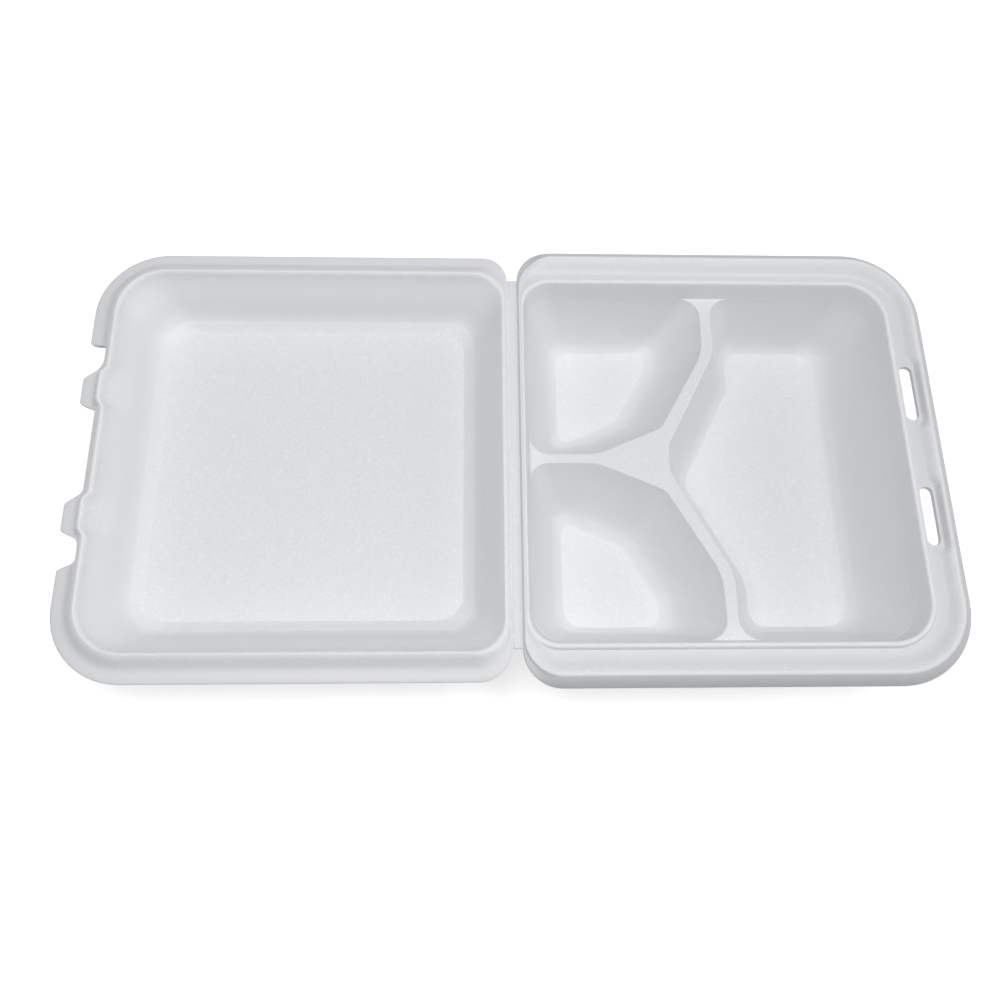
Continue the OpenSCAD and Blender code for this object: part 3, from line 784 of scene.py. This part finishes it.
def lid_front(p, row, y):
    """A point of one of the lid's rows at the front, where the tabs stand out."""
    out, _hinge_x, z, _hinge_z, bulge, rise, follows, _grain = row
    share = zone_share(p, y, p.tab_root / 2 - TAB_BLEND / 2, TAB_BLEND)
    crest = p.reach - p.lid_crest_in
    if follows == WALL:
        return crest + out + bulge * p.tab_bulge * share, y, z + rise * p.tab_rise * share
    edge = edge_out(p, y)
    if follows == MID:
        place = min(out, mix(CREST_HALF + p.tab_bulge * share, edge, 0.5))
    else:
        place = edge + out - p.lid_flange_width
    return crest + place, y, z + flange_fall(p, out) - flange_fall(p, place)


# How much a corner's radius changes for each millimetre out from the crest line, and inside of it
LID_CORNER_OUT = 0.95
LID_CORNER_IN = 0.45
LID_HINGE_RADIUS = 14
LID_HINGE_GROWTH = 0.1


def lid_level(p, row):
    """One level of the lid, worked out along +X and then turned over to -X."""
    out, hinge_x, z, hinge_z = row[:4]
    half = p.half_width - p.lid_crest_side + out
    straight = p.half_width - p.lid_crest_side + p.lid_flange_width - p.strip_half
    front_radius = p.lid_front_radius + out * (LID_CORNER_OUT if out > 0 else LID_CORNER_IN)
    hinge_radius = min(straight, LID_HINGE_RADIUS + LID_HINGE_GROWTH * out)
    points = [lid_front(p, row, y) for y in lid_front_ys(p)]
    around = outline(p.reach - p.lid_crest_in + out, hinge_x, half, front_radius, hinge_radius)
    points += [(x, y, mix(z, hinge_z, flat_share(x))) for x, y in around]
    return [(-x, y, z) for x, y, z in points]


# The patch behind each tab's crest, rougher and with a painted highlight: its grain, its growth with the
# bulge, and where it ends
PATCH_GRAIN_AND_HIGHLIGHT = 1.35
PATCH_GROWTH = 1.5
PATCH_OUT = -0.5
PATCH_FRONT = -0.8  # of the reach


def lid_grain(p, row, ring):
    """Grain of one of the lid's rows, with the patch inside each tab, which is rougher and has a painted
    highlight.
    """
    out, bulge, grain = row[0], row[4], row[7]
    patch = PATCH_GRAIN_AND_HIGHLIGHT * ease(bulge * PATCH_GROWTH) * (out < PATCH_OUT)
    half = p.tab_root / 2 - TAB_BLEND
    front = PATCH_FRONT * p.reach
    return [max(grain, patch * zone_share(p, y, half, TAB_BLEND) * (x < front)) for x, y, _z in ring]


GROOVE = 0.05  # depth of a crease's inner face
CREASE_STEPS = 6
STRIP_STATIONS = 90


def crease_rings(p, side):
    """The strip's half next to one crease, as level sections along the hinge."""
    end = p.axis_x - p.crease_width / 2
    top_z = p.axis_z + p.strip_rise
    far = p.edge_x + p.tuck
    low = p.lip_z
    top = [
        (0.0, top_z),
        (0.35 * end, top_z - 0.01),
        (0.6 * end, top_z - 0.12),
        (0.82 * end, mix(top_z, p.axis_z, 0.6)),
        (end, p.axis_z),
    ]
    bend = [mix(end, p.edge_x, step / CREASE_STEPS) for step in range(1, CREASE_STEPS)]
    bulge = [math.sin(math.pi * (x - end) / p.crease_width) for x in bend]
    top += [(x, p.axis_z - GROOVE * share) for x, share in zip(bend, bulge)]
    top += [(p.edge_x, p.axis_z - 0.02), (far, p.axis_z - 0.04)]
    bottom = [(far, low + 0.15), (p.edge_x, low + 0.15)]
    bottom += reversed([(x, low + 0.1 + p.crease_depth * share) for x, share in zip(bend, bulge)])
    bottom += [(end, low), (0.5 * end, low), (0.0, low)]
    section = top + bottom
    ys = [mix(-p.strip_half, p.strip_half, i / STRIP_STATIONS) for i in range(STRIP_STATIONS + 1)]
    return [[(side * x, y, z) for x, z in section] for y in ys]


def add_node(tree, kind, x, y, **inputs):
    """A node at its place, with each named input set to a value or linked to another node's output."""
    node = tree.nodes.new(kind)
    node.location = (x, y)
    for key, source in inputs.items():
        socket = node.inputs[key.replace("_", " ")]
        if isinstance(source, bpy.types.NodeSocket):
            tree.links.new(source, socket)
        else:
            socket.default_value = source
    return node


def add_noise(tree, y, place, scale, detail, roughness):
    """The values of a noise texture."""
    noise = add_node(tree, "ShaderNodeTexNoise", -1200, y, Vector=place, Scale=scale, Detail=detail)
    noise.inputs["Roughness"].default_value = roughness
    return noise.outputs["Fac"]


def add_bump(tree, x, y, strength, distance, height):
    """A relief by another node's value, in metres."""
    return add_node(tree, "ShaderNodeBump", x, y, Strength=strength, Distance=distance, Height=height)


def map_range(tree, x, y, value, **ends):
    """Another node's value, moved from one range to another."""
    return add_node(tree, "ShaderNodeMapRange", x, y, Value=value, **ends).outputs["Result"]


def combine(tree, x, y, operation, one, other):
    """Two other nodes' values, combined and kept between 0 and 1."""
    node = add_node(tree, "ShaderNodeMath", x, y)
    node.operation = operation
    node.use_clamp = True
    tree.links.new(one, node.inputs[0])
    tree.links.new(other, node.inputs[1])
    return node.outputs[0]


def paint_over(tree, x, y, share, under, over):
    """A plain colour over another one, or over another node's colour, by a share."""
    node = add_node(tree, "ShaderNodeMix", x, y)
    node.data_type = "RGBA"
    node.inputs["B"].default_value = (*over, 1)
    tree.links.new(share, node.inputs["Factor"])
    if isinstance(under, bpy.types.NodeSocket):
        tree.links.new(under, node.inputs["A"])
    else:
        node.inputs["A"].default_value = (*under, 1)
    return node.outputs["Result"]


def fresh_tree(owner):
    """The emptied node tree of a material or a world."""
    owner.use_nodes = True
    owner.node_tree.nodes.clear()
    return owner.node_tree


def foam_colour(tree, look, grain, cells, patches):
    """Greyer on the drawn walls, lighter on flats, with painted shade on the flanges, edges and ledge, a
    painted highlight on crests and lips, and painted glints on single cells.
    """
    cloud = map_range(tree, -900, 500, patches, From_Min=0.35, From_Max=0.65, To_Min=-0.18, To_Max=0.18)
    flatness = combine(tree, -700, 450, "ADD", grain, cloud)
    tone = paint_over(tree, -450, 450, flatness, look.wall_colour, look.flat_colour)
    # Painted shade: below 0, the flanges, outer edges and ledge are greyed towards the rim colour
    painted_shade_share = map_range(tree, -450, 150, grain, From_Min=0.0, From_Max=-1.0)
    pressed = paint_over(tree, -300, 550, painted_shade_share, tone, look.painted_rim_shade)
    # Painted highlight: above 1, crests, bead, lips and tab patches are brightened towards the glint colour
    crest = map_range(tree, -450, 700, grain, From_Min=1.0, From_Max=2.0)
    with_painted_highlight = paint_over(tree, -250, 700, crest, pressed, look.glint_colour)
    split = add_node(tree, "ShaderNodeSeparateColor", -950, 250, Color=cells.outputs["Color"])
    bright = map_range(tree, -700, 250, split.outputs[0], From_Min=0.72, To_Max=0.75)
    glint = combine(tree, -500, 250, "MULTIPLY", bright, grain)
    return paint_over(tree, -200, 400, glint, with_painted_highlight, look.glint_colour)


# Heights of the relief in metres
WAVE_HEIGHT = 0.0012
CELL_HEIGHT = 0.00022
PORE_HEIGHT = 0.00014


def foam_relief(tree, grain, cells, pores, waves):
    """Waves everywhere, and cells and pores where the sheet is hardly stretched."""
    wavy = add_bump(tree, -600, -400, 0.35, WAVE_HEIGHT, waves).outputs["Normal"]
    strength = map_range(tree, -900, -250, grain, To_Min=0.10, To_Max=0.55)
    cellular = add_bump(tree, -350, -200, strength, CELL_HEIGHT, cells.outputs["Distance"])
    cellular.invert = True
    fine = add_bump(tree, -150, -100, strength, PORE_HEIGHT, pores)
    tree.links.new(wavy, cellular.inputs["Normal"])
    tree.links.new(cellular.outputs["Normal"], fine.inputs["Normal"])
    return fine.outputs["Normal"]


def foam_material(look):
    """White foam: a soft satin skin, fine cells that catch the light, and slow waves in the sheet."""
    material = bpy.data.materials.get("white_foam")
    if material:
        return material
    material = bpy.data.materials.new("white_foam")
    tree = fresh_tree(material)
    place = add_node(tree, "ShaderNodeTexCoord", -1500, 0).outputs["Object"]
    attribute = add_node(tree, "ShaderNodeAttribute", -1500, -300)
    attribute.attribute_name = "grain"
    grain = attribute.outputs["Fac"]
    per_cell = 1 / look.cell_size
    cells = add_node(tree, "ShaderNodeTexVoronoi", -1200, 200, Vector=place, Scale=per_cell)
    cells.inputs["Randomness"].default_value = 1.0
    pores = add_noise(tree, -100, place, 1.7 * per_cell, 1.0, 0.6)
    waves = add_noise(tree, -400, place, 1 / look.wave_size, 2.0, 0.4)
    patches = add_noise(tree, 500, place, 0.35 * per_cell, 4.0, 0.65)
    skin = add_node(
        tree,
        "ShaderNodeBsdfPrincipled",
        150,
        200,
        Base_Color=foam_colour(tree, look, grain, cells, patches),
        Normal=foam_relief(tree, grain, cells, pores, waves),
        Roughness=look.roughness,
        IOR=1.45,
        Coat_Weight=0.2,
        Coat_Roughness=0.3,
    )
    add_node(tree, "ShaderNodeOutputMaterial", 500, 200, Surface=skin.outputs["BSDF"])
    return material


def show(tree, lit, seen, output):
    """Links two shaders to the output: one for the light that falls on things, and one for the eye, which is
    what the camera sees directly, in reflections and through things."""
    path = add_node(tree, "ShaderNodeLightPath", -800, 300)
    eye = path.outputs["Is Camera Ray"]
    for x, name in ((-600, "Is Glossy Ray"), (-400, "Is Transmission Ray")):
        eye = combine(tree, x, 300, "MAXIMUM", eye, path.outputs[name])
    both = add_node(tree, "ShaderNodeMixShader", 0, 100, Fac=eye)
    tree.links.new(lit, both.inputs[1])
    tree.links.new(seen, both.inputs[2])
    add_node(tree, output, 200, 100, Surface=both.outputs["Shader"])


WHITE = (1, 1, 1, 1)
PALE = (0.95, 0.95, 0.95, 1)
FLOOR_GREY = (0.45, 0.45, 0.46, 1)
FLOOR_GLOW = 0.6
SKY_COLOUR = (0.97, 0.985, 1.0, 1)


def floor_material():
    """A pale floor that shows as white where nothing shades it."""
    material = bpy.data.materials.new("studio_floor")
    tree = fresh_tree(material)
    paint = add_node(tree, "ShaderNodeBsdfDiffuse", -400, 0, Color=FLOOR_GREY)
    pale = add_node(tree, "ShaderNodeBsdfDiffuse", -400, -300, Color=PALE)
    glow = add_node(tree, "ShaderNodeEmission", -400, -150, Color=WHITE, Strength=FLOOR_GLOW)
    lifted = add_node(tree, "ShaderNodeAddShader", -200, -100)
    tree.links.new(pale.outputs["BSDF"], lifted.inputs[0])
    tree.links.new(glow.outputs["Emission"], lifted.inputs[1])
    show(tree, paint.outputs["BSDF"], lifted.outputs["Shader"], "ShaderNodeOutputMaterial")
    return material


def light_world(strength):
    """Even pale light from all round, seen as plain white."""
    world = bpy.data.worlds.new("studio_sky")
    bpy.context.scene.world = world
    tree = fresh_tree(world)
    sky = add_node(tree, "ShaderNodeBackground", -200, 0, Color=SKY_COLOUR, Strength=strength)
    white = add_node(tree, "ShaderNodeBackground", -200, -150, Color=WHITE, Strength=1.0)
    show(tree, sky.outputs["Background"], white.outputs["Background"], "ShaderNodeOutputWorld")


# Each lamp's name, energy setting, place and size
LAMPS = (
    ("key_lamp", "key_energy", (0.5, 0.0, 1.1), 0.45),
    ("near_lamp", "near_energy", (-0.12, -0.05, 0.6), 0.27),
    ("side_lamp", "side_energy", (1.2, 0.0, 0.6), 0.55),
)
LAMP_AIM = Vector((0.0, 0.0, 0.03))


def add_lamp(name, place, size, power):
    """A square soft white lamp that faces the container."""
    data = bpy.data.lights.new(name, "AREA")
    data.shape = "SQUARE"
    data.size = size
    data.energy = power
    lamp = add_object(name, data)
    lamp.location = place
    lamp.rotation_mode = "QUATERNION"
    lamp.rotation_quaternion = (LAMP_AIM - Vector(place)).to_track_quat("-Z", "Y")


def add_camera(look):
    """The camera at the photograph's viewing angle."""
    data = bpy.data.cameras.new("studio_camera")
    data.sensor_fit = "HORIZONTAL"
    data.sensor_width = 36.0
    data.lens = look.camera_lens
    data.clip_start = 0.01
    data.clip_end = 20.0
    camera = add_object("studio_camera", data)
    heading, dip, roll = look.camera_heading, look.camera_dip, look.camera_roll
    ahead = Vector((math.sin(heading) * math.cos(dip), math.cos(heading) * math.cos(dip), -math.sin(dip)))
    level = Vector((math.cos(heading), -math.sin(heading), 0))
    upright = level.cross(ahead)
    right = math.cos(roll) * level + math.sin(roll) * upright
    up = -math.sin(roll) * level + math.cos(roll) * upright
    turn = Matrix((right, up, -ahead)).transposed()
    camera.matrix_world = Matrix.Translation(look.camera_place) @ turn.to_4x4()
    bpy.context.scene.camera = camera


class CONTAINER_OT_base(bpy.types.Operator):
    """Make the base: three compartments, hollow dividers, bead, ledge, crest, flange and two slots"""

    bl_idname = "container.base"
    bl_label = "Base"

    def execute(self, context):
        p = plan(context.scene)
        rows = base_rows(p)
        bm = bmesh.new()
        rings, grains = smooth_levels([base_level(p, row) for row in rows], [row[6] for row in rows])
        deck_edges, under_edges = loft(bm, rings, grains)
        for cell in compartments(p):
            deck_edges = deck_edges + cut_compartment(bm, p, cell)
            under_edges = under_edges + hang_compartment(bm, p, cell)
        bmesh.ops.triangle_fill(bm, use_beauty=True, edges=deck_edges, normal=(0, 0, 1))
        bmesh.ops.triangle_fill(bm, use_beauty=True, edges=under_edges, normal=(0, 0, -1))
        piece = finish_sheet(bm, "base_sheet", slot_cutter(p))
        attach(piece, "base")
        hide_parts("base")
        return {"FINISHED"}


class CONTAINER_OT_lid(bpy.types.Operator):
    """Make the lid: recessed panel, walls, crest, flange with its notches, and two locking tabs"""

    bl_idname = "container.lid"
    bl_label = "Lid"

    def execute(self, context):
        p = plan(context.scene)
        rows = lid_rows(p)
        levels = [lid_level(p, row) for row in rows]
        grains = [lid_grain(p, row, level) for row, level in zip(rows, levels)]
        bm = bmesh.new()
        rings, ring_grains = smooth_levels(levels, grains)
        panel_edges, under_edges = loft(bm, rings, ring_grains)
        bmesh.ops.edgeloop_fill(bm, edges=panel_edges)
        bmesh.ops.edgeloop_fill(bm, edges=under_edges)
        piece = finish_sheet(bm, "lid_sheet")
        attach(piece, "lid")
        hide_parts("lid")
        return {"FINISHED"}


class CONTAINER_OT_creases(bpy.types.Operator):
    """Make the strip between the halves, with a pressed crease on each side"""

    bl_idname = "container.creases"
    bl_label = "Creases"

    def execute(self, context):
        p = plan(context.scene)
        for name, body, side in (("crease_at_base", "base", 1), ("crease_at_lid", "lid", -1)):
            bm = bmesh.new()
            rings = crease_rings(p, side)
            for edges in loft(bm, rings, [TOP_GRAIN] * len(rings)):
                bmesh.ops.edgeloop_fill(bm, edges=edges)
            piece = finish_sheet(bm, name)
            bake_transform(piece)
            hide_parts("hinge_strip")
        return {"FINISHED"}


class CONTAINER_OT_studio(bpy.types.Operator):
    """Set up the pale floor, the soft lamps, the even sky and the camera"""

    bl_idname = "container.studio"
    bl_label = "Studio"

    def execute(self, context):
        look = context.scene.container_studio
        bm = bmesh.new()
        bmesh.ops.create_grid(bm, x_segments=1, y_segments=1, size=look.floor_size / 2)
        mesh = bpy.data.meshes.new("studio_floor")
        bm.to_mesh(mesh)
        bm.free()
        mesh.materials.append(floor_material())
        ground = add_object("studio_floor", mesh)
        light_world(look.sky_strength)
        for name, setting, place, size in LAMPS:
            add_lamp(name, place, size, getattr(look, setting))
        add_camera(look)
        context.scene.view_settings.view_transform = "Standard"
        return {"FINISHED"}


class CONTAINER_PT_panel(bpy.types.Panel):
    """Sizes, colours and pieces of the container"""

    bl_label = "Foam container"
    bl_space_type = "VIEW_3D"
    bl_region_type = "UI"
    bl_category = "Container"

    def draw(self, context):
        layout = self.layout
        for title, name, _kind in SIZES + LOOKS:
            box = layout.box()
            box.label(text=title)
            group = getattr(context.scene, name)
            for key in group.__annotations__:
                box.prop(group, key)
        for operator in OPERATORS:
            layout.operator(operator.bl_idname)


SIZES = (
    ("Rim", "container_rim", RimSizes),
    ("Compartments", "container_compartments", CompartmentSizes),
    ("Lid", "container_lid", LidSizes),
    ("Tabs and slots", "container_tabs", TabSizes),
    ("Hinge", "container_hinge", HingeSizes),
)
LOOKS = (("Foam", "container_foam", FoamLook), ("Studio", "container_studio", StudioLook))
OPERATORS = (CONTAINER_OT_base, CONTAINER_OT_lid, CONTAINER_OT_creases, CONTAINER_OT_studio)
CLASSES = (*[group[2] for group in SIZES + LOOKS], *OPERATORS, CONTAINER_PT_panel)


def register():
    for kind in CLASSES:
        bpy.utils.register_class(kind)
    for _title, name, kind in SIZES + LOOKS:
        setattr(bpy.types.Scene, name, PointerProperty(type=kind))


def unregister():
    for _title, name, _kind in SIZES + LOOKS:
        delattr(bpy.types.Scene, name)
    for kind in reversed(CLASSES):
        bpy.utils.unregister_class(kind)


def main():
    """Makes every piece and the studio."""
    register()
    bpy.ops.container.base()
    bpy.ops.container.lid()
    bpy.ops.container.creases()
    bpy.ops.container.studio()


if __name__ == "__main__":
    main()
